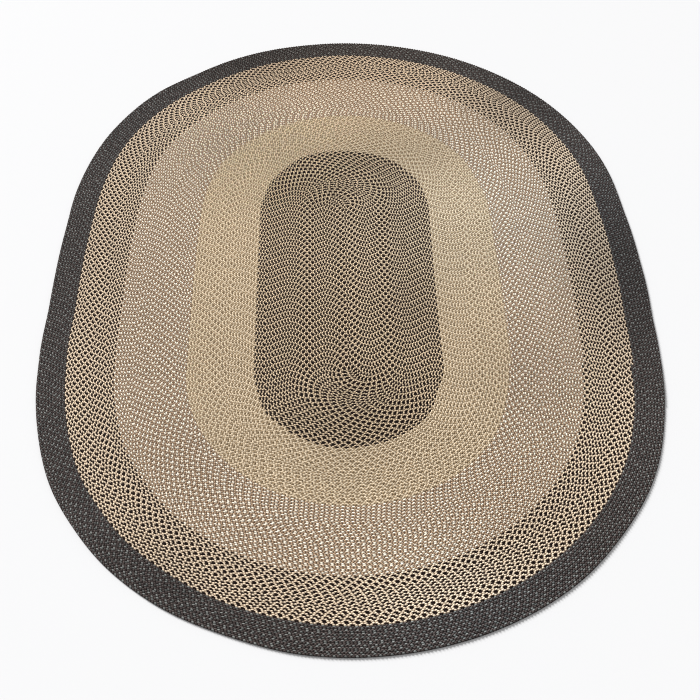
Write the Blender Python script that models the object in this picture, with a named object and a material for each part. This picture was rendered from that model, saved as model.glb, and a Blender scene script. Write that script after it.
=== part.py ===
"""Oval braided rug, 8 by 11 ft, laid flat.

A flat three-strand braid is wound about a straight middle seam and sewn lap against lap. Its make-up
changes four times on the way out, so the rug has five runs of braid. Each run is one closed solid with
a flat underside and one raised rib on its top for each lap.

The origin is the middle of the underside, +Y is the long way of the rug and +Z is up. Sizes are in
metres.
"""

import math
from collections import namedtuple

import bmesh
import bpy
from mathutils import Vector

# Driving dimensions
RUG_WIDTH = 2.438
RUG_LENGTH = 3.358
THICKNESS = 0.0095  # top of the ribs
GROOVE_HEIGHT = 0.0060  # bottom of the grooves between laps
RIM_HEIGHT = 0.0042  # widest line of the rounded outer edge
RIM_TUCK = 0.0030  # how far the underside stays inside that line
GAP = 0.0003  # between two runs of braid

# Facets: steps round each end of the oval and along each straight side, for a run with a fineness of 1
ARC_STEPS = 7
SIDE_STEPS = 2

RIM_REACH = RUG_WIDTH / 2
SEAM_HALF = (RUG_LENGTH - RUG_WIDTH) / 2  # half of the straight middle seam
MM = 0.001
MERGE_DISTANCE = 0.00001

# Each run of braid from the middle out: its laps, how far from the seam the last of them reaches, and how
# many times finer than the middle its facets are. The last row's fineness is the outer edge's too.
Run = namedtuple("Run", "name laps reach fineness color roughness")
RUNS = (
    Run("centre_braid", 31, 0.3738, 1, (0.235, 0.185, 0.125), 0.90),
    Run("tan_braid", 21, 0.6313, 2, (0.480, 0.370, 0.250), 0.90),
    Run("white_tan_braid", 24, 0.9130, 2, (0.440, 0.355, 0.265), 0.90),
    Run("black_tan_braid", 16, 1.1081, 2, (0.330, 0.262, 0.190), 0.90),
    Run("border_braid", 9, RIM_REACH, 4, (0.068, 0.062, 0.059), 0.85),
)

# Where the laps stray from a true oval. A bulge is centred on a bearing, in degrees round from +X, and on
# a distance from the seam, in metres. It fades over spread degrees and depth metres, and moves the laps
# outwards by its height in millimetres, or inwards where that is negative.
Bulge = namedtuple("Bulge", "bearing spread distance depth height")
BULGES = (
    Bulge(0, 24, 1.22, 0.75, 24),  # right side bows out
    Bulge(178, 24, 0.93, 0.70, 9),  # left side bows out
    Bulge(33, 16, 0.60, 0.70, -11),  # the four shoulders are drawn in
    Bulge(-34, 16, 0.56, 0.62, -12),
    Bulge(150, 18, 1.10, 0.90, -12),
    Bulge(-148, 16, 1.22, 0.62, -10),
    Bulge(90, 45, 0.37, 0.25, 10),  # middle oval: fuller ends, flatter right side
    Bulge(112, 16, 0.37, 0.24, 10),
    Bulge(-98, 20, 0.37, 0.24, 7),
    Bulge(-128, 16, 0.37, 0.20, 15),
    Bulge(0, 48, 0.37, 0.24, -9),
    Bulge(83, 24, 1.11, 0.17, 9),  # inner edge of the border
    Bulge(-110, 20, 1.11, 0.17, -8),
    Bulge(-60, 28, 1.22, 0.30, 6),  # outer edge
    Bulge(126, 10, 1.22, 0.25, 6),
)
TRUE_CORE = 0.10  # within this distance of the seam the bulges fade away

# A spoke runs straight out from its foot on the middle seam, square to the laps that it crosses.
Spoke = namedtuple("Spoke", "foot outward bearing")


def make_spoke(seam_y, angle):
    """The spoke that leaves the seam at seam_y, at an angle round from +X."""
    foot = Vector((0.0, seam_y, 0.0))
    outward = Vector((math.cos(angle), math.sin(angle), 0.0))
    rim = foot + outward * RIM_REACH
    return Spoke(foot, outward, math.degrees(math.atan2(rim.y, rim.x)))


def make_spokes(fineness):
    """All the spokes, anticlockwise from the lower end of the right side."""
    side_steps = SIDE_STEPS * fineness
    arc_steps = ARC_STEPS * fineness
    spokes = []
    for end, first_angle in ((1, 0.0), (-1, math.pi)):
        for step in range(side_steps):
            seam_y = end * SEAM_HALF * (2 * step / side_steps - 1)
            spokes.append(make_spoke(seam_y, first_angle))
        for step in range(arc_steps):
            spokes.append(make_spoke(end * SEAM_HALF, first_angle + math.pi * step / arc_steps))
    return spokes


def bell(x):
    """A smooth hump: 1 at 0, and 0 from 1 on."""
    return 0.5 + 0.5 * math.cos(math.pi * min(abs(x), 1.0))


def straying(spoke, distance):
    """How far the lap at this distance from the seam strays outwards from the true oval. The first laps,
    next to the seam, hardly do."""
    total = 0.0
    for bulge in BULGES:
        turn = (spoke.bearing - bulge.bearing + 180) % 360 - 180
        fade = bell(turn / bulge.spread) * bell((distance - bulge.distance) / bulge.depth)
        total += bulge.height * MM * fade
    return total * min(distance / TRUE_CORE, 1.0)


def on_spoke(spoke, distance, z):
    """The point of the lap at this distance from the seam, at height z."""
    point = spoke.foot + spoke.outward * (distance + straying(spoke, distance))
    point.z = z
    return point


def outline_middle(spokes):
    """The middle of the rug's outline."""
    rim = [on_spoke(spoke, RIM_REACH, 0.0) for spoke in spokes]
    xs = [point.x for point in rim]
    ys = [point.y for point in rim]
    return Vector(((min(xs) + max(xs)) / 2, (min(ys) + max(ys)) / 2, 0.0))


def run_section(run, start, next_fineness):
    """The section of a run of braid as (fineness, distance, z), from its inner edge over the ribs and down
    its outer edge to the underside. start is the distance where the run begins. From its last ridge on
    the run is as fine as the next one, which it meets there."""
    lap_width = (run.reach - start) / run.laps
    inner_edge = start + GAP / 2
    outer_edge = run.reach - GAP / 2
    if run is RUNS[0]:
        section = [(run.fineness, 0.0, GROOVE_HEIGHT)]
    else:
        section = [(run.fineness, inner_edge, 0.0), (run.fineness, inner_edge, GROOVE_HEIGHT)]
    for lap in range(run.laps - 1):
        section.append((run.fineness, start + (lap + 0.5) * lap_width, THICKNESS))
        section.append((run.fineness, start + (lap + 1) * lap_width, GROOVE_HEIGHT))
    section.append((next_fineness, run.reach - lap_width / 2, THICKNESS))
    if run is RUNS[-1]:
        section.append((next_fineness, run.reach, RIM_HEIGHT))
        section.append((next_fineness, run.reach - RIM_TUCK, 0.0))
    else:
        section.append((next_fineness, outer_edge, GROOVE_HEIGHT))
        section.append((next_fineness, outer_edge, 0.0))
    return section


def join_rings(mesh, inner, outer):
    """The strip of faces between two rings. The outer one has as many points as the inner, or twice as
    many."""
    count = len(inner)
    for i in range(count):
        here, there = inner[i], inner[(i + 1) % count]
        if len(outer) == count:
            mesh.faces.new((here, outer[i], outer[(i + 1) % count], there))
        else:
            first, halfway, last = outer[2 * i], outer[2 * i + 1], outer[(2 * i + 2) % len(outer)]
            mesh.faces.new((here, first, halfway))
            mesh.faces.new((here, halfway, there))
            mesh.faces.new((there, halfway, last))


def make_finish(run):
    """The plain finish of a run of braid."""
    finish = bpy.data.materials.new(run.name)
    finish.use_nodes = True
    shader = finish.node_tree.nodes["Principled BSDF"]
    shader.inputs["Base Color"].default_value = (*run.color, 1.0)
    shader.inputs["Roughness"].default_value = run.roughness
    shader.inputs["Metallic"].default_value = 0.0
    return finish


def make_run(run, section, spokes, middle):
    """One run of braid as a closed solid."""
    mesh = bmesh.new()
    rings = []
    for fineness, distance, z in section:
        points = [on_spoke(spoke, distance, z) - middle for spoke in spokes[fineness]]
        rings.append([mesh.verts.new(point) for point in points])
    for inner, outer in zip(rings, rings[1:]):
        join_rings(mesh, inner, outer)
    if run is RUNS[0]:
        mesh.faces.new(rings[-1])
    else:
        join_rings(mesh, rings[0], rings[-1])
    # The innermost ring closes up into the groove along the middle seam.
    bmesh.ops.remove_doubles(mesh, verts=mesh.verts, dist=MERGE_DISTANCE)
    bmesh.ops.recalc_face_normals(mesh, faces=mesh.faces)
    data = bpy.data.meshes.new(run.name)
    mesh.to_mesh(data)
    mesh.free()
    data.materials.append(make_finish(run))
    bpy.context.scene.collection.objects.link(bpy.data.objects.new(run.name, data))


def main():
    """The whole rug."""
    for old in list(bpy.data.objects):
        bpy.data.objects.remove(old, do_unlink=True)
    spokes = {run.fineness: make_spokes(run.fineness) for run in RUNS}
    middle = outline_middle(spokes[RUNS[-1].fineness])
    start = 0.0
    for run, next_run in zip(RUNS, RUNS[1:] + RUNS[-1:]):
        make_run(run, run_section(run, start, next_run.fineness), spokes, middle)
        start = run.reach


main()
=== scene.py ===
"""Oval braided rug, 8 by 11 ft, laid flat and dressed as braid.

One flat three-strand braid is wound clockwise about the rug's middle seam and sewn lap against lap. Its
make-up changes four times on the way out. Every strand that comes to the top of the braid is a modelled
lobe, and the underside follows the same strands.

Sizes are in metres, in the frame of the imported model: the origin is the middle of the underside, +Y is
the long way of the rug and +Z is up.
"""

import math
from collections import namedtuple

import bpy
import numpy as np
from mathutils import Matrix, Vector


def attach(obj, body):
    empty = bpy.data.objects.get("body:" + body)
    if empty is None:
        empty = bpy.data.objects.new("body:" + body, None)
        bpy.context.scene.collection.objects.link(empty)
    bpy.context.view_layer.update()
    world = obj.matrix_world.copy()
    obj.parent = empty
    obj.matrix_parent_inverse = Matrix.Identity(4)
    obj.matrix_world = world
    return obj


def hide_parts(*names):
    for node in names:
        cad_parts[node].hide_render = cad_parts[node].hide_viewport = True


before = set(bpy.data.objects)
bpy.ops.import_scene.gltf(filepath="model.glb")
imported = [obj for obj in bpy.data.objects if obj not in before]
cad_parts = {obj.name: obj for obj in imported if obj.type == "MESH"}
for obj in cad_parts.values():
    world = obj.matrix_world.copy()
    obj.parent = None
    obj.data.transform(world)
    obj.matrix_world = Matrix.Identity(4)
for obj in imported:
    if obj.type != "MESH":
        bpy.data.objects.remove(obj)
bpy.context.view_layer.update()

MM = 0.001
SEED = 8011

# ---------------------------------------------------------------------------------------------------
# The rug's sizes
# ---------------------------------------------------------------------------------------------------

RUG_WIDTH = 2.438
RUG_LENGTH = 3.358
RIM_REACH = RUG_WIDTH / 2
SEAM_HALF = (RUG_LENGTH - RUG_WIDTH) / 2  # half of the straight middle seam

# Each run of braid from the middle out. laps and reach say how many laps it has and how far from the seam
# the last of them reaches. joint is where it ends on its last turn, as a share of the way along the lower
# end from the right. repeats is how far along the braid a strand comes back to the same place, in
# millimetres, at the run's start, halfway and at its end. swell is how much further each lobe of the first
# strand reaches along the braid at either end, in millimetres. pieces is how many meshes share the run.
# strands are the finishes of its three strands.
Run = namedtuple("Run", "node slot laps reach joint repeats swell pieces strands")
RUNS = (
    Run("centre_braid", "black_khaki_braid", 31, 0.3738, 0.72, (36.88, 36.73, 37.15), 1.3, 1,
        ("black", "khaki", "khaki")),
    Run("tan_braid", "golden_tan_braid", 21, 0.6313, 0.0, (37.15, 37.18, 37.00), 0.8, 1,
        ("old_gold", "gold", "gold")),
    Run("white_tan_braid", "white_brown_tan_braid", 24, 0.9130, 0.0, (37.04, 37.05, 36.93), 1.5, 2,
        ("white", "brown_tan", "brown_tan")),
    Run("black_tan_braid", "black_cream_tan_braid", 16, 1.1081, 0.0, (36.88, 36.99, 37.12), 0.6, 2,
        ("black", "cream_tan", "cream_tan")),
    Run("border_braid", "charcoal_braid", 9, RIM_REACH, 1.0, (37.05, 37.06, 37.08), 0.4, 1,
        ("grey", "charcoal", "charcoal")),
)
ALL_LAPS = sum(run.laps for run in RUNS)
TAIL = 0.06  # share of the lower end over which the last of the braid tapers away

# Where the laps stray from a true oval. A bulge is centred on a bearing, in degrees round from +X, and on
# a distance from the seam, in metres. It fades over spread degrees and depth metres, and moves the laps
# outwards by its height in millimetres, or inwards where that is negative.
Bulge = namedtuple("Bulge", "bearing spread distance depth height")
BULGES = (  # those that the solids have too
    Bulge(0, 24, 1.22, 0.75, 24),  # right side bows out
    Bulge(178, 24, 0.93, 0.70, 9),  # left side bows out
    Bulge(33, 16, 0.60, 0.70, -11),  # the four shoulders are drawn in
    Bulge(-34, 16, 0.56, 0.62, -12),
    Bulge(150, 18, 1.10, 0.90, -12),
    Bulge(-148, 16, 1.22, 0.62, -10),
    Bulge(90, 45, 0.37, 0.25, 10),  # middle oval: fuller ends, flatter right side
    Bulge(112, 16, 0.37, 0.24, 10),
    Bulge(-98, 20, 0.37, 0.24, 7),
    Bulge(-128, 16, 0.37, 0.20, 15),
    Bulge(0, 48, 0.37, 0.24, -9),
    Bulge(83, 24, 1.11, 0.17, 9),  # inner edge of the border
    Bulge(-110, 20, 1.11, 0.17, -8),
    Bulge(-60, 28, 1.22, 0.30, 6),  # outer edge
    Bulge(126, 10, 1.22, 0.25, 6),
)
FINE_BULGES = (  # small corners, flats and shifts that the solids leave out
    Bulge(-40, 18, 0.37, 0.20, -12),  # middle oval
    Bulge(84, 20, 0.37, 0.20, -7),
    Bulge(51, 12, 0.37, 0.20, -6),
    Bulge(148, 10, 0.37, 0.20, -6),
    Bulge(-137, 12, 0.37, 0.20, 5),
    Bulge(-80, 110, 0.77, 0.36, 17),  # white and tan run, further out all round
    Bulge(117, 70, 0.77, 0.36, 11),
    Bulge(-170, 50, 0.77, 0.36, 7),
    Bulge(5, 40, 0.77, 0.36, 5),
    Bulge(80, 25, 0.92, 0.15, 5),
    Bulge(14, 12, 1.10, 0.50, 8),  # two outer runs
    Bulge(-17, 9, 1.10, 0.50, 7),
    Bulge(-32, 9, 1.10, 0.50, -5),
    Bulge(-131, 9, 1.10, 0.50, -5),
    Bulge(-166, 9, 1.08, 0.40, 7),
    Bulge(43, 12, 1.00, 0.40, -4),
    Bulge(80, 12, 1.00, 0.40, -5),
    Bulge(104, 10, 1.10, 0.50, 4),
    Bulge(140, 18, 1.00, 0.25, 6),
    Bulge(-108, 12, 1.08, 0.13, 5),
    Bulge(-105, 10, 1.22, 0.12, -6),  # outer edge
    Bulge(-53, 10, 1.22, 0.12, -5),
    Bulge(117, 8, 1.22, 0.12, -5),
    Bulge(163, 10, 1.22, 0.30, -3),
)
TRUE_CORE = 0.10  # within this distance of the seam the bulges fade away

# ---------------------------------------------------------------------------------------------------
# The braid's sizes
# ---------------------------------------------------------------------------------------------------

STRANDS = 3
LAP_WIDTH = 0.0121
CREST = 9.5 * MM  # top of a lobe
CREST_SPREAD = 0.5 * MM
MIDDLE_HEIGHT = 7.0 * MM  # where the two columns of lobes meet along the middle of the braid
EDGE_HEIGHT = 3.8 * MM  # where two laps meet
SLANT = 2.6 * MM  # how far ahead of its outer end a lobe's inner end lies
TIP = 0.11  # how far a lobe reaches over the braid's middle, in braid widths
PRESS = 0.02  # how far a lap's edge is pressed into its neighbour, in braid widths
SHOULDER = 0.32  # where a lobe's ridge starts and ends, as a share of the way to its tip
NECK = 0.74
STRAY = 0.35 * MM  # unevenness of the ridges
# How far a stretch of braid lies ahead of or behind its place: least in the middle of the rug, up to the
# first of these lengths along the braid, and most from the second one on
WANDER = (2.4 * MM, 6.0 * MM)
WANDER_LENGTHS = (95.0, 200.0)
WANDER_STEP = 1.0  # length of braid over which that changes

# Samples on each straight side and round each end: of the winding, and of the outline, which has as many
# as the solids do
SIDE_STEPS = 24
ARC_STEPS = 90
OUTLINE_SIDE_STEPS = 8
OUTLINE_ARC_STEPS = 28
TAPE_STEPS = 4000  # samples of a run's repeat
WAY_LIMIT = 600.0  # more than the length of all the braid

# How far apart the fibres of one lobe and the next, and of the two columns, are read along the strand, in
# millimetres, so that no two look alike, and how many times further apart across it
LOBES_APART = 7.3
COLUMNS_APART = 3.1
FURTHER_ACROSS = 1.7

# How the braid is laid out in the square that its finishes are baked into, in rows
BAKE_SHAPE = 1.5  # lobes in a row for each row
BAKE_START = 0.3  # room before the first lobe of a row, in lobes
BAKE_SPARE = 2.6  # room before and behind its lobes, in lobes
BAKE_TOP = (0.03, 0.62)  # where the braid's top starts, as a share of the row, and how wide it is
BAKE_UNDER = (0.70, 0.26)  # the same for its underside

# ---------------------------------------------------------------------------------------------------
# The camera, the floor and the light
# ---------------------------------------------------------------------------------------------------

CAMERA_PLACE = (-0.0702, -3.3912, 3.5560)
CAMERA_LENS = 60.50  # mm
CAMERA_SENSOR = 36.0  # mm
CAMERA_SIGHT = (0.05, 100.0)  # the nearest and the furthest that it sees
CAMERA_DIP = math.radians(49.605)  # below the horizon
CAMERA_TURN = -0.02128
CAMERA_ROLL = 0.00065
PICTURE_SOFTNESS = 1.0  # width of the pixel filter
FLOOR_SIZE = 40.0
FLOOR_COLOR = (0.828, 0.828, 0.834)
FLOOR_ROUGHNESS = 0.8
FLOOR_SHINE = 0.2
SKY = (1.0, 1.0, 1.0)
SKY_STRENGTH = 0.44
LAMP_TOWARDS = (0.85, -1.15, -0.85)
LAMP_SPREAD = math.radians(24)
LAMP_POWER = 4.35


def bell(x):
    """A smooth hump: 1 at 0, and 0 from 1 on."""
    return 0.5 + 0.5 * np.cos(np.pi * np.minimum(np.abs(x), 1.0))


def straying(bearing, distance):
    """How far the braid at this distance from the seam strays outwards from the true oval."""
    total = np.zeros_like(distance)
    for bulge in BULGES + FINE_BULGES:
        turn = (bearing - bulge.bearing + 180) % 360 - 180
        weighting = bell(turn / bulge.spread) * bell((distance - bulge.distance) / bulge.depth)
        total += bulge.height * MM * weighting
    return total * np.minimum(distance / TRUE_CORE, 1.0)


def reach_of(lap):
    """How far from the seam a place lies that is this many laps out, on a true oval."""
    laps, reaches = [0], [0.0]
    for run in RUNS:
        laps.append(laps[-1] + run.laps)
        reaches.append(run.reach)
    return np.interp(lap, laps, reaches)


def tail_width(share):
    """The width of the last of the braid, in braid widths, at this share of the lower end."""
    return np.clip(1.0 - share / TAIL, 0.0, 1.0)


def on_oval(foot_y, angle, lap, share):
    """The places that lie this many laps out on the spokes with these feet and angles. share is the share
    of the lower end that is behind a spoke, where the laps grow by one."""
    last_lap = np.where(share > 0, ALL_LAPS - 1 + share + tail_width(share), ALL_LAPS)
    distance = reach_of(lap) * RIM_REACH / reach_of(last_lap)
    bearing = np.arctan2(foot_y + RIM_REACH * np.sin(angle), RIM_REACH * np.cos(angle))
    distance = distance + straying(np.degrees(bearing), distance)
    return np.stack([np.cos(angle) * distance, foot_y + np.sin(angle) * distance], axis=-1)


# The way of the braid in samples: the length so far, the foot and angle of the spoke there, how many laps
# lie inside it, and its width in laps. The laps grow by one as it rounds the lower end, so that what is
# past a whole lap is also the share of the lower end behind it.
Way = namedtuple("Way", "length foot_y angle lap width")


def walk_round(side_steps, arc_steps):
    """One turn about the seam in samples: up the left side, over the upper end, down the right side and
    round the lower end. Returns the foot and the angle of the spoke at each, and the share of the lower
    end behind it."""
    side = np.arange(side_steps) / side_steps
    arc = np.arange(arc_steps) / arc_steps
    foot_y = SEAM_HALF * np.concatenate([2 * side - 1, arc * 0 + 1, 1 - 2 * side, arc * 0 - 1])
    angle = np.pi * np.concatenate([side * 0 + 1, 1 - arc, side * 0, -arc])
    share = np.concatenate([side * 0, arc * 0, side * 0, arc])
    return foot_y, angle, share


def wind():
    """Winds the braid, which moves out by its own width round the lower end. It starts as a point on the
    lower end of the seam, half a turn before its first whole lap, and ends as a point on the rim."""
    foot_y, angle, share = walk_round(SIDE_STEPS, ARC_STEPS)
    turns = np.arange(-1, ALL_LAPS)[:, None]
    foot_y = (foot_y + turns * 0).ravel()
    angle = (angle - 2 * np.pi * turns).ravel()
    lap = (share + turns).ravel()
    width = np.clip(lap + 1, 0, 1)
    width = np.where(lap > ALL_LAPS - 1, tail_width(lap % 1), width)
    kept = width > 0
    foot_y, angle, lap, width = (values[kept] for values in (foot_y, angle, lap, width))
    middle = on_oval(foot_y, angle, np.maximum(lap, 0) + width / 2, lap % 1)
    steps = np.linalg.norm(np.diff(middle, axis=0), axis=1)
    length = np.concatenate([[0.0], np.cumsum(steps)])
    return Way(length, foot_y, angle, lap, width)


def outline_middle():
    """The middle of the rug's outline, which is the origin of the frame."""
    foot_y, angle, _ = walk_round(OUTLINE_SIDE_STEPS, OUTLINE_ARC_STEPS)
    rim = on_oval(foot_y, angle, np.full_like(angle, ALL_LAPS), np.zeros_like(angle))
    return (rim.min(axis=0) + rim.max(axis=0)) / 2


def on_way(way, length, across):
    """The places this far along the way of the braid, and this far across it: 0 at its inner edge and 1 at
    its outer edge."""
    foot_y = np.interp(length, way.length, way.foot_y)
    angle = np.interp(length, way.length, way.angle)
    lap = np.interp(length, way.length, way.lap)
    width = np.interp(length, way.length, way.width)
    return on_oval(foot_y, angle, np.maximum(lap, 0) + across * width, lap % 1) - outline_middle()


def run_stretches(way):
    """Where each run starts and ends, as lengths along the way of the braid."""
    stretches = []
    start, laps = 0.0, 0
    for run in RUNS:
        laps += run.laps
        sample = np.searchsorted(way.lap, laps - 1 + run.joint, side="right") - 1
        stretches.append((start, way.length[sample]))
        start = way.length[sample]
    return stretches


# ---------------------------------------------------------------------------------------------------
# The braid as a mesh
# ---------------------------------------------------------------------------------------------------

# A tape measure laid along a run: how many lobes lie behind each of its lengths along the way of the braid.
Tape = namedtuple("Tape", "lobes length")


def lay_tape(run, start, end):
    """The tape of a run that lies between two lengths. It has a sample beyond each end."""
    length = np.linspace(start, end, TAPE_STEPS + 1)
    share = np.linspace(0, 1, TAPE_STEPS + 1)
    first, middle, last = run.repeats
    repeat = first + (4 * middle - 3 * first - last) * share + 2 * (first + last - 2 * middle) * share**2
    steps = np.diff(length) * STRANDS / (repeat[1:] * MM)
    lobes = np.concatenate([[0.0], np.cumsum(steps)])
    lobes *= round(lobes[-1]) / lobes[-1]
    pitch = (end - start) / lobes[-1]
    lobes = np.concatenate([[-2.0], lobes, [lobes[-1] + 2.0]])
    length = np.concatenate([[start - 2 * pitch], length, [end + 2 * pitch]])
    return Tape(lobes, length)


def wander(length):
    """How far the braid lies ahead of its place, this far along its way."""
    rng = np.random.default_rng(SEED + 2)
    knots = np.arange(0.0, WAY_LIMIT, WANDER_STEP)
    spread = np.interp(knots, WANDER_LENGTHS, WANDER)
    return np.interp(length, knots, rng.normal(0.0, 1.0, len(knots)) * spread)


def swelling(boundary, outer):
    """Which way the first strand pushes the boundary before each of these lobes: on, back or not at all."""
    return (strand_of(boundary - 1, outer) == 0) * 1.0 - (strand_of(boundary, outer) == 0)


def lobe_points(way, tape, first, last, swell):
    """The points of the lobes from first to last of a run, in both its columns: their places, whether
    they are on a ridge, how many lobes lie behind them and where they are across the braid."""
    pitch = (tape.length[-1] - tape.length[0]) / (tape.lobes[-1] - tape.lobes[0])
    slant = SLANT / pitch
    lobes = np.arange(first, last + 1)
    inner = lobes + swelling(lobes, 0) * swell * MM / pitch
    outer = lobes + 0.5 + swelling(lobes, 1) * swell * MM / pitch
    middle = np.column_stack([inner, outer]).ravel()
    odd = np.arange(len(middle)) % 2
    mid = lobes[:-1] + 0.5
    rng = np.random.default_rng(SEED + first)

    def uneven(low, high):
        return rng.uniform(low, high, last - first)

    # The points in rows, each with its places along and across the braid, its heights, and 1 on a ridge:
    # the two edges, the middle of the top, the middle of the underside, and then the ridges
    parts = [
        (inner, np.full_like(inner, -PRESS), np.full_like(inner, EDGE_HEIGHT), 0),
        (outer, np.full_like(outer, 1 + PRESS), np.full_like(outer, EDGE_HEIGHT), 0),
        (middle + slant, 0.5 - TIP + 2 * TIP * odd, np.full_like(middle, MIDDLE_HEIGHT), 0),
        (middle + slant, np.full_like(middle, 0.5), np.zeros_like(middle), 0),
    ]
    for column in (0, 1):
        for share in (SHOULDER, NECK):
            place = mid + column * 0.5 + slant * share + uneven(-STRAY, STRAY) / pitch
            across = 0.5 * share + uneven(-STRAY, STRAY) / LAP_WIDTH
            height = CREST - uneven(0, CREST_SPREAD)
            parts.append((place, (1 - across) if column else across, height, 1))
    along = np.concatenate([part[0] for part in parts])
    across = np.concatenate([part[1] for part in parts])
    height = np.concatenate([part[2] for part in parts])
    crest = np.concatenate([np.full(len(part[0]), float(part[3])) for part in parts])
    length = np.interp(along, tape.lobes, tape.length)
    flat = on_way(way, length + wander(length), across)
    return np.column_stack([flat, height]), crest, along, across


def lobe_faces(count):
    """The faces of count lobes in each column, and of the two ends. Returns the corners of each face, its
    lobe, whether it is in the outer column and whether it is below."""
    i = np.arange(count)
    inner_edge = i
    outer_edge = i + count + 1
    top = 2 * i + 2 * (count + 1)
    bottom = top + 2 * count + 2
    ridges = 2 * (count + 1) + 2 * (2 * count + 2) + i
    faces, lobes, outers, belows = [], [], [], []

    def add(outer, below, *corners):
        faces.append(np.column_stack(corners))
        lobes.append(i)
        outers.append(np.full(count, outer))
        belows.append(np.full(count, below))

    # The points of a lobe: e on the braid's edge, c along the middle of its top, b below those, and r at
    # the two ends of the lobe's ridge
    for outer, edge in ((False, inner_edge), (True, outer_edge)):
        e0, e1 = edge, edge + 1
        c0, c1, c2 = (top + outer + step for step in range(3))
        b0, b1, b2 = (bottom + outer + step for step in range(3))
        r0 = ridges + 2 * count * outer
        r1 = r0 + count
        upper = ((e0, e1, r0), (e1, c2, r1), (e1, r1, r0), (c2, c1, r1),
                 (c1, c0, r1), (c0, e0, r0), (c0, r0, r1))
        lower = ((e0, b0, b1), (e0, b1, b2), (e0, b2, e1))
        for below, group in ((False, upper), (True, lower)):
            for corners in group:
                add(outer, below, *(corners[::-1] if outer else corners))
    faces = np.concatenate(faces)
    lobes, outers, belows = (np.concatenate(values) for values in (lobes, outers, belows))
    # The two ends, each closed by a fan
    for at, lobe in ((0, 0), (count, count - 1)):
        loop = [inner_edge[0] + at, outer_edge[0] + at]
        t, b = top[0] + 2 * at, bottom[0] + 2 * at
        fan = [(loop[0], t, b), (t, t + 1, b), (b, t + 1, b + 1), (t + 1, loop[1], b + 1)]
        if at:
            fan = [corners[::-1] for corners in fan]
        faces = np.concatenate([faces, np.array(fan)])
        lobes = np.concatenate([lobes, [lobe] * 4])
        outers = np.concatenate([outers, [False, False, True, True]])
        belows = np.concatenate([belows, [True] * 4])
    return faces, lobes, outers, belows


def strand_of(lobe, outer):
    """Which strand comes up in a lobe. Each strand shows in one column, and half a repeat further on in
    the other."""
    return (2 * lobe + outer) % STRANDS


def bake_map(along, across, lobe, below, count):
    """Lays the braid out in rows that fill a square, its narrower underside beside its top."""
    per_row = int(math.sqrt(count * BAKE_SHAPE)) + 1
    rows = count // per_row + 1
    row = (lobe // per_row)[:, None]
    u = (along - row * per_row + BAKE_START) / (per_row + BAKE_SPARE)
    on_top = BAKE_TOP[0] + BAKE_TOP[1] * across
    on_underside = BAKE_UNDER[0] + BAKE_UNDER[1] * across
    within = np.where(below[:, None], on_underside, on_top)
    return np.stack([u, (row + within) / rows], axis=-1)


def strand_map(along, across, lobe, outer, pitch):
    """Places along and across the strand of each lobe, in millimetres, where its fibres are read."""
    inwards = np.where(outer[:, None], 1 - across, across) * LAP_WIDTH / MM
    ahead = (along - (lobe + 0.5 + 0.5 * outer)[:, None]) * pitch / MM
    span = math.hypot(LAP_WIDTH / 2, SLANT)
    over, on = LAP_WIDTH / 2 / span, SLANT / span
    apart = (lobe * LOBES_APART + outer * COLUMNS_APART)[:, None]
    along_strand = over * inwards + on * ahead + apart
    across_strand = over * ahead - on * inwards + apart * FURTHER_ACROSS
    return np.stack([along_strand, across_strand], axis=-1)


def make_mesh(name, points, faces):
    """A mesh of triangles."""
    mesh = bpy.data.meshes.new(name)
    mesh.vertices.add(len(points))
    mesh.vertices.foreach_set("co", points.astype(np.float32).ravel())
    mesh.loops.add(faces.size)
    mesh.loops.foreach_set("vertex_index", faces.astype(np.int32).ravel())
    mesh.polygons.add(len(faces))
    mesh.polygons.foreach_set("loop_start", np.arange(0, faces.size, 3, dtype=np.int32))
    mesh.update(calc_edges=True)
    return mesh


def colour_strands(mesh, run, strand, finishes):
    """Gives each face the finish of its strand."""
    names = sorted(set(run.strands))
    for name in names:
        mesh.materials.append(finishes[name])
    index = np.array([names.index(name) for name in run.strands], dtype=np.int32)[strand]
    mesh.polygons.foreach_set("material_index", index)


def crease(mesh, crest):
    """Makes the edges sharp that lie in the grooves, and the rest smooth."""
    mesh.polygons.foreach_set("use_smooth", np.ones(len(mesh.polygons), dtype=bool))
    ends = np.empty(len(mesh.edges) * 2, dtype=np.int32)
    mesh.edges.foreach_get("vertices", ends)
    groove = (crest[ends.reshape(-1, 2)] == 0).all(axis=1)
    mesh.attributes.new("sharp_edge", "BOOLEAN", "EDGE").data.foreach_set("value", groove)


def make_braid(name, way, run, tape, first, last, finishes):
    """The lobes from first to last of a run as a closed mesh."""
    points, crest, along, across = lobe_points(way, tape, first, last, run.swell)
    faces, lobe, outer, below = lobe_faces(last - first)
    lobe = lobe + first
    mesh = make_mesh(name, points, faces)
    colour_strands(mesh, run, strand_of(lobe, outer), finishes)

    # What the finishes read: how near a point is to a crest, the light and shade painted on it, and the
    # tone of its lobe
    mesh.attributes.new("crest", "FLOAT", "POINT").data.foreach_set("value", crest.astype(np.float32))
    shading = painted_shading(points).astype(np.float32).ravel()
    mesh.attributes.new("painted_shading", "FLOAT_VECTOR", "POINT").data.foreach_set("vector", shading)
    tones = np.random.default_rng(SEED + 1).random((last, 2))
    tone = tones[lobe, outer.astype(int)]
    mesh.attributes.new("tone", "FLOAT", "FACE").data.foreach_set("value", tone.astype(np.float32))

    pitch = np.mean(run.repeats) * MM / STRANDS
    maps = (
        ("strand", strand_map(along[faces], across[faces], lobe, outer, pitch)),
        ("OFBake", bake_map(along[faces] - first, across[faces], lobe - first, below, last - first)),
    )
    for map_name, places in maps:
        layer = mesh.uv_layers.new(name=map_name)
        layer.uv.foreach_set("vector", places.astype(np.float32).ravel())

    crease(mesh, crest)
    piece = bpy.data.objects.new(name, mesh)
    bpy.context.scene.collection.objects.link(piece)
    return piece


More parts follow.
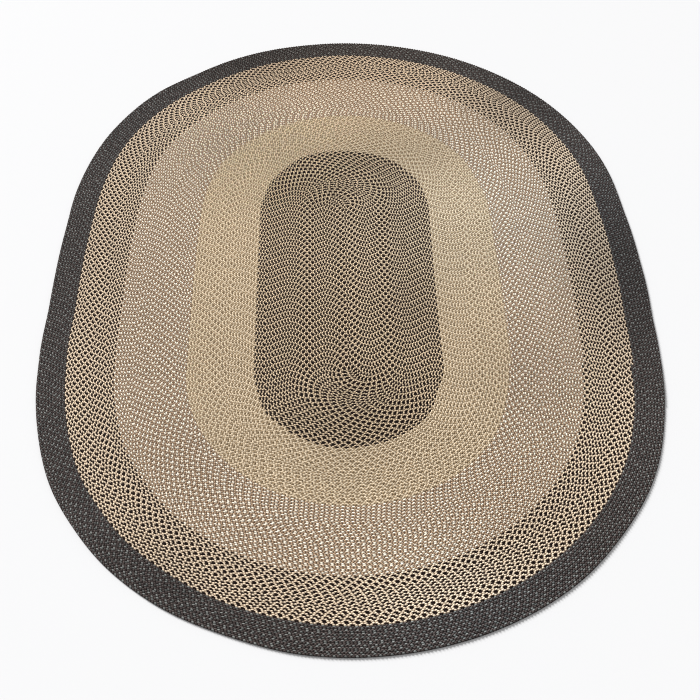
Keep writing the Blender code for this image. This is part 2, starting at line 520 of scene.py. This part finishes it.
# ---------------------------------------------------------------------------------------------------
# Finishes
# ---------------------------------------------------------------------------------------------------

FIBRE_WIDTH = 0.6  # of the streaks that the fibres make, in millimetres
FIBRE_LENGTH = 6.0
FIBRE_TWIST = 0.25  # how far they turn across the strand, for each length along it
FIBRE_DETAIL = 2.0
FIBRE_HEIGHT = 0.3 * MM
FIBRE_BUMP = 0.6
STRAND_SHINE = 0.1
GROOVE_SHADE_REACH = 0.5  # how far up a lobe the painted shade of its groove reaches, as a share of the way to its crest

# The finish of each kind of strand: its colour, the colour of the shade painted down in its grooves, how
# uneven the tone is from lobe to lobe, how strongly its fibres are streaked, how much paler a painted
# highlight makes it on its crests than beside its grooves, and its roughness.
Finish = namedtuple("Finish", "color groove tone streak worn roughness")
FINISHES = {
    "black": Finish((0.017, 0.010, 0.008), (0.002, 0.001, 0.001), 0.50, 0.80, 1.0, 0.85),
    "khaki": Finish((0.636, 0.503, 0.348), (0.220, 0.156, 0.096), 0.30, 0.35, 1.0, 0.92),
    "old_gold": Finish((0.374, 0.276, 0.169), (0.130, 0.088, 0.050), 0.35, 0.35, 0.8, 0.92),
    "gold": Finish((0.757, 0.625, 0.453), (0.450, 0.340, 0.218), 0.22, 0.30, 0.3, 0.92),
    "white": Finish((0.840, 0.767, 0.645), (0.180, 0.120, 0.078), 0.30, 0.20, 0.8, 0.90),
    "brown_tan": Finish((0.455, 0.326, 0.218), (0.138, 0.086, 0.055), 0.28, 0.35, 0.8, 0.92),
    "cream_tan": Finish((0.750, 0.615, 0.458), (0.300, 0.205, 0.132), 0.25, 0.30, 0.8, 0.92),
    "charcoal": Finish((0.075, 0.060, 0.056), (0.026, 0.020, 0.019), 0.55, 0.60, 0.8, 0.85),
    "grey": Finish((0.150, 0.153, 0.145), (0.020, 0.018, 0.018), 0.90, 0.50, 1.0, 0.85),
}

# Painted light and shade: where the rug is painted paler or darker than its dyes, and cooler or warmer, for
# the light that falls off towards its right edge, a pale sheen and the shading of gentle waves that the
# flat rug lacks. A patch fades out over its own width and length. tone and cool say by how much, at its
# middle.
Patch = namedtuple("Patch", "x y width length tone cool")
PATCHES = (
    Patch(-1.05, 0.65, 0.55, 0.90, 0.15, 0.0),  # left side, painted lighter
    Patch(-1.15, -0.35, 0.40, 0.70, 0.11, 0.0),
    Patch(-0.50, 0.30, 0.50, 0.80, 0.10, 0.0),
    Patch(1.25, 0.05, 0.45, 0.95, -0.38, 0.0),  # right edge, painted shade, cooler
    Patch(0.98, 0.00, 0.30, 0.75, -0.12, 0.0),
    Patch(1.10, 0.30, 0.40, 0.90, 0.0, 0.07),
    Patch(0.85, 1.20, 0.50, 0.50, -0.27, 0.0),
    Patch(0.70, -0.50, 0.45, 0.50, -0.16, 0.0),
    Patch(0.00, 0.15, 0.40, 0.60, 0.13, 0.0),  # middle, painted lighter
    Patch(0.50, 0.45, 0.40, 0.40, 0.13, 0.0),  # painted pale sheen beside it
    Patch(0.50, 0.40, 0.90, 0.80, 0.0, 0.10),
    Patch(0.25, 0.85, 0.45, 0.35, -0.15, 0.0),  # above and below the middle
    Patch(0.00, 1.15, 0.90, 0.42, 0.09, 0.0),
    Patch(-0.08, -0.72, 0.40, 0.40, -0.13, 0.0),
    Patch(0.25, -0.15, 0.25, 0.35, -0.12, 0.0),
    Patch(-0.60, -0.85, 0.40, 0.40, -0.11, 0.0),
    Patch(-0.75, -1.40, 0.35, 0.35, -0.13, 0.0),  # lower end
    Patch(0.40, -1.50, 0.60, 0.45, 0.16, 0.08),
    Patch(0.10, -1.50, 0.45, 0.60, 0.11, 0.0),
    Patch(-0.30, 1.20, 0.50, 0.30, 0.07, 0.0),  # upper end, warmer
    Patch(-0.75, 1.10, 0.38, 0.38, 0.12, 0.0),
    Patch(-0.45, 1.60, 0.50, 0.35, -0.22, 0.0),
    Patch(0.00, 1.50, 1.20, 0.80, 0.0, -0.11),
)


def painted_shading(points):
    """Painted light and shade: what the colour is multiplied by at these points, for red, green and blue.
    """
    tone, cool = np.ones(len(points)), np.zeros(len(points))
    for patch in PATCHES:
        away = np.hypot((points[:, 0] - patch.x) / patch.width, (points[:, 1] - patch.y) / patch.length)
        tone += patch.tone * bell(away)
        cool += patch.cool * bell(away)
    return np.column_stack([tone * (1 - cool / 2), tone, tone * (1 + cool / 2)])


def new_group(name, inputs, outputs):
    """A shader node group with sockets given as (name, type, default), and its two end nodes."""
    group = bpy.data.node_groups.new(name, "ShaderNodeTree")
    for direction, sockets in (("INPUT", inputs), ("OUTPUT", outputs)):
        for socket_name, kind, default in sockets:
            socket = group.interface.new_socket(socket_name, in_out=direction, socket_type=kind)
            if default is not None:
                socket.default_value = default
    return group, group.nodes.new("NodeGroupInput"), group.nodes.new("NodeGroupOutput")


def add_math(tree, operation, a, b=None):
    """A math node of two values, each a socket or a number. Returns its output."""
    node = tree.nodes.new("ShaderNodeMath")
    node.operation = operation
    for socket, value in zip(node.inputs, (a, b)):
        if isinstance(value, bpy.types.NodeSocket):
            tree.links.new(value, socket)
        elif value is not None:
            socket.default_value = value
    return node.outputs["Value"]


def fibre_group():
    """Fibres that run along a strand, with a slight twist."""
    group, given, result = new_group(
        "jute fibres",
        [("Place", "NodeSocketVector", None), ("Fibre width", "NodeSocketFloat", FIBRE_WIDTH),
         ("Fibre length", "NodeSocketFloat", FIBRE_LENGTH)],
        [("Streak", "NodeSocketFloat", None), ("Height", "NodeSocketFloat", None)],
    )
    apart = group.nodes.new("ShaderNodeSeparateXYZ")
    group.links.new(given.outputs["Place"], apart.inputs[0])
    twist = add_math(group, "MULTIPLY", apart.outputs["X"], FIBRE_TWIST)
    twisted = add_math(group, "ADD", apart.outputs["Y"], twist)
    along = add_math(group, "DIVIDE", apart.outputs["X"], given.outputs["Fibre length"])
    across = add_math(group, "DIVIDE", twisted, given.outputs["Fibre width"])
    together = group.nodes.new("ShaderNodeCombineXYZ")
    group.links.new(along, together.inputs["X"])
    group.links.new(across, together.inputs["Y"])
    noise = group.nodes.new("ShaderNodeTexNoise")
    noise.noise_dimensions = "2D"
    noise.inputs["Scale"].default_value = 1.0
    noise.inputs["Detail"].default_value = FIBRE_DETAIL
    group.links.new(together.outputs[0], noise.inputs["Vector"])
    group.links.new(noise.outputs["Fac"], result.inputs["Streak"])
    group.links.new(noise.outputs["Fac"], result.inputs["Height"])
    return group


def tone_group():
    """Unevenness of a dyed strand from lobe to lobe and fibre to fibre, times the light and shade painted
    on it.
    """
    group, given, result = new_group(
        "uneven tone and painted shading",
        [("Color", "NodeSocketColor", None), ("Painted shading", "NodeSocketVector", None),
         ("Tone", "NodeSocketFloat", 0.5), ("Tone spread", "NodeSocketFloat", 0.2),
         ("Streak", "NodeSocketFloat", 0.5), ("Streak strength", "NodeSocketFloat", 0.3)],
        [("Color", "NodeSocketColor", None)],
    )
    off_tone = add_math(group, "SUBTRACT", given.outputs["Tone"], 0.5)
    tone = add_math(group, "MULTIPLY", off_tone, given.outputs["Tone spread"])
    off_streak = add_math(group, "SUBTRACT", given.outputs["Streak"], 0.5)
    streak = add_math(group, "MULTIPLY", off_streak, given.outputs["Streak strength"])
    bright = add_math(group, "ADD", add_math(group, "ADD", tone, streak), 1.0)
    scale = group.nodes.new("ShaderNodeVectorMath")
    scale.operation = "SCALE"
    group.links.new(given.outputs["Color"], scale.inputs[0])
    group.links.new(bright, scale.inputs["Scale"])
    # Multiplied by the light and shade painted on the rug
    weighting = group.nodes.new("ShaderNodeVectorMath")
    weighting.operation = "MULTIPLY"
    group.links.new(scale.outputs[0], weighting.inputs[0])
    group.links.new(given.outputs["Painted shading"], weighting.inputs[1])
    group.links.new(weighting.outputs[0], result.inputs["Color"])
    return group


def shade_and_highlight_group():
    """Paints shade on a strand towards the grooves beside it, and a paler highlight along its crest."""
    group, given, result = new_group(
        "painted groove shade and crest highlight",
        [("Color", "NodeSocketColor", None), ("Groove color", "NodeSocketColor", None),
         ("Crest", "NodeSocketFloat", 1.0), ("Depth", "NodeSocketFloat", GROOVE_SHADE_REACH),
         ("Worn", "NodeSocketFloat", 0.5)],
        [("Color", "NodeSocketColor", None)],
    )
    # Painted highlight and shade: the colour is paler towards the crest and darker towards the grooves
    above = add_math(group, "SUBTRACT", given.outputs["Crest"], 0.5)
    bright = add_math(group, "ADD", add_math(group, "MULTIPLY", above, given.outputs["Worn"]), 1.0)
    worn = group.nodes.new("ShaderNodeVectorMath")
    worn.operation = "SCALE"
    group.links.new(given.outputs["Color"], worn.inputs[0])
    group.links.new(bright, worn.inputs["Scale"])
    # Painted shade: the groove's shade colour gives way to the strand's own colour by Depth of the way up
    # to the crest
    spread = group.nodes.new("ShaderNodeMapRange")
    spread.interpolation_type = "SMOOTHSTEP"
    group.links.new(given.outputs["Crest"], spread.inputs["Value"])
    group.links.new(given.outputs["Depth"], spread.inputs["From Max"])
    mix = group.nodes.new("ShaderNodeMix")
    mix.data_type = "RGBA"
    group.links.new(spread.outputs["Result"], mix.inputs["Factor"])
    group.links.new(given.outputs["Groove color"], mix.inputs["A"])
    group.links.new(worn.outputs[0], mix.inputs["B"])
    group.links.new(mix.outputs["Result"], result.inputs["Color"])
    return group


def make_finish(name, finish, groups):
    """The material of one kind of strand."""
    material = bpy.data.materials.new(name + "_jute")
    material.use_nodes = True
    tree = material.node_tree
    shader = tree.nodes["Principled BSDF"]
    shader.inputs["Roughness"].default_value = finish.roughness
    shader.inputs["Specular IOR Level"].default_value = STRAND_SHINE

    def place(group, **values):
        node = tree.nodes.new("ShaderNodeGroup")
        node.node_tree = groups[group]
        for socket, value in values.items():
            node.inputs[socket.replace("_", " ")].default_value = value
        return node

    def read(attribute, output="Fac"):
        node = tree.nodes.new("ShaderNodeAttribute")
        node.attribute_name = attribute
        return node.outputs[output]

    where = tree.nodes.new("ShaderNodeUVMap")
    where.uv_map = "strand"
    fibres = place("fibres")
    tree.links.new(where.outputs["UV"], fibres.inputs["Place"])
    tone_and_shading = place("tone_and_shading", Color=(*finish.color, 1.0), Tone_spread=finish.tone, Streak_strength=finish.streak)
    tree.links.new(read("tone"), tone_and_shading.inputs["Tone"])
    # The light and shade painted across the rug
    tree.links.new(read("painted_shading", "Vector"), tone_and_shading.inputs["Painted shading"])
    tree.links.new(fibres.outputs["Streak"], tone_and_shading.inputs["Streak"])
    # Painted shade in the grooves and a painted highlight along the crests
    grooves = place("grooves", Groove_color=(*finish.groove, 1.0), Worn=finish.worn)
    tree.links.new(tone_and_shading.outputs["Color"], grooves.inputs["Color"])
    tree.links.new(read("crest"), grooves.inputs["Crest"])
    tree.links.new(grooves.outputs["Color"], shader.inputs["Base Color"])
    bump = tree.nodes.new("ShaderNodeBump")
    bump.inputs["Distance"].default_value = FIBRE_HEIGHT
    bump.inputs["Strength"].default_value = FIBRE_BUMP
    tree.links.new(fibres.outputs["Height"], bump.inputs["Height"])
    tree.links.new(bump.outputs["Normal"], shader.inputs["Normal"])
    return material


# ---------------------------------------------------------------------------------------------------
# The stage
# ---------------------------------------------------------------------------------------------------


def make_camera():
    """The camera at the height and angle of the picture."""
    data = bpy.data.cameras.new("camera")
    data.lens = CAMERA_LENS
    data.sensor_width = CAMERA_SENSOR
    data.clip_start, data.clip_end = CAMERA_SIGHT
    camera = bpy.data.objects.new("camera", data)
    turn = Matrix.Rotation(CAMERA_TURN, 4, "Z")
    tilt = Matrix.Rotation(math.pi / 2 - CAMERA_DIP, 4, "X")
    roll = Matrix.Rotation(CAMERA_ROLL, 4, "Z")
    camera.matrix_world = Matrix.Translation(CAMERA_PLACE) @ turn @ tilt @ roll
    bpy.context.scene.collection.objects.link(camera)
    bpy.context.scene.camera = camera


def make_floor():
    """A plain pale floor."""
    half = FLOOR_SIZE / 2
    corners = [(-half, -half, 0), (half, -half, 0), (half, half, 0), (-half, half, 0)]
    mesh = bpy.data.meshes.new("floor")
    mesh.from_pydata(corners, [], [(0, 1, 2, 3)])
    material = bpy.data.materials.new("pale_floor")
    material.use_nodes = True
    shader = material.node_tree.nodes["Principled BSDF"]
    shader.inputs["Base Color"].default_value = (*FLOOR_COLOR, 1.0)
    shader.inputs["Roughness"].default_value = FLOOR_ROUGHNESS
    shader.inputs["Specular IOR Level"].default_value = FLOOR_SHINE
    mesh.materials.append(material)
    floor = bpy.data.objects.new("floor", mesh)
    bpy.context.scene.collection.objects.link(floor)
    return floor


def make_light():
    """Even light from all round and one large soft lamp beyond the upper left, and how the picture is
    developed."""
    world = bpy.data.worlds.new("studio")
    world.use_nodes = True
    sky = world.node_tree.nodes["Background"]
    sky.inputs["Color"].default_value = (*SKY, 1.0)
    sky.inputs["Strength"].default_value = SKY_STRENGTH
    bpy.context.scene.world = world
    data = bpy.data.lights.new("lamp", "SUN")
    data.angle = LAMP_SPREAD
    data.energy = LAMP_POWER
    lamp = bpy.data.objects.new("lamp", data)
    lamp.rotation_mode = "QUATERNION"
    lamp.rotation_quaternion = Vector(LAMP_TOWARDS).to_track_quat("-Z", "Y")
    bpy.context.scene.collection.objects.link(lamp)
    scene = bpy.context.scene
    scene.view_settings.view_transform = "Standard"
    # The strands are only a few pixels wide, so the picture is kept crisp.
    scene.cycles.filter_width = PICTURE_SOFTNESS
    scene.cycles.denoising_prefilter = "NONE"


# ---------------------------------------------------------------------------------------------------
# The whole rug
# ---------------------------------------------------------------------------------------------------


def declare(piece, run):
    """Hands a piece over: attaches it to what it rides on and hides the solid of its run, which it stands
    in for.
    """
    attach(piece, "root")
    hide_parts(run.node)


def piece_reaches(way, run, start, end, inner_reach):
    """How far from the seam the pieces of a run reach, on a true oval: where the first starts, and then
    where each ends."""
    length = start + (end - start) * np.linspace(0, 1, run.pieces + 1)
    reaches = reach_of(np.interp(length, way.length, way.lap))
    return [inner_reach, *(float(reach) for reach in reaches[1:-1]), run.reach]


def main():
    """The rug and its stage."""
    make_camera()
    floor = make_floor()
    make_light()
    groups = {"fibres": fibre_group(), "tone_and_shading": tone_group(), "grooves": shade_and_highlight_group()}
    finishes = {name: make_finish(name, finish, groups) for name, finish in FINISHES.items()}
    way = wind()
    inner_reach = 0.0
    for run, (start, end) in zip(RUNS, run_stretches(way)):
        tape = lay_tape(run, start, end)
        count = round(tape.lobes[-2])
        reaches = piece_reaches(way, run, start, end, inner_reach)
        for part in range(run.pieces):
            first, last = count * part // run.pieces, count * (part + 1) // run.pieces
            name = run.node + "_lobes" + ("_inner", "_outer")[part] * (run.pieces > 1)
            piece = make_braid(name, way, run, tape, first, last, finishes)
            declare(piece, run)
        inner_reach = run.reach


main()
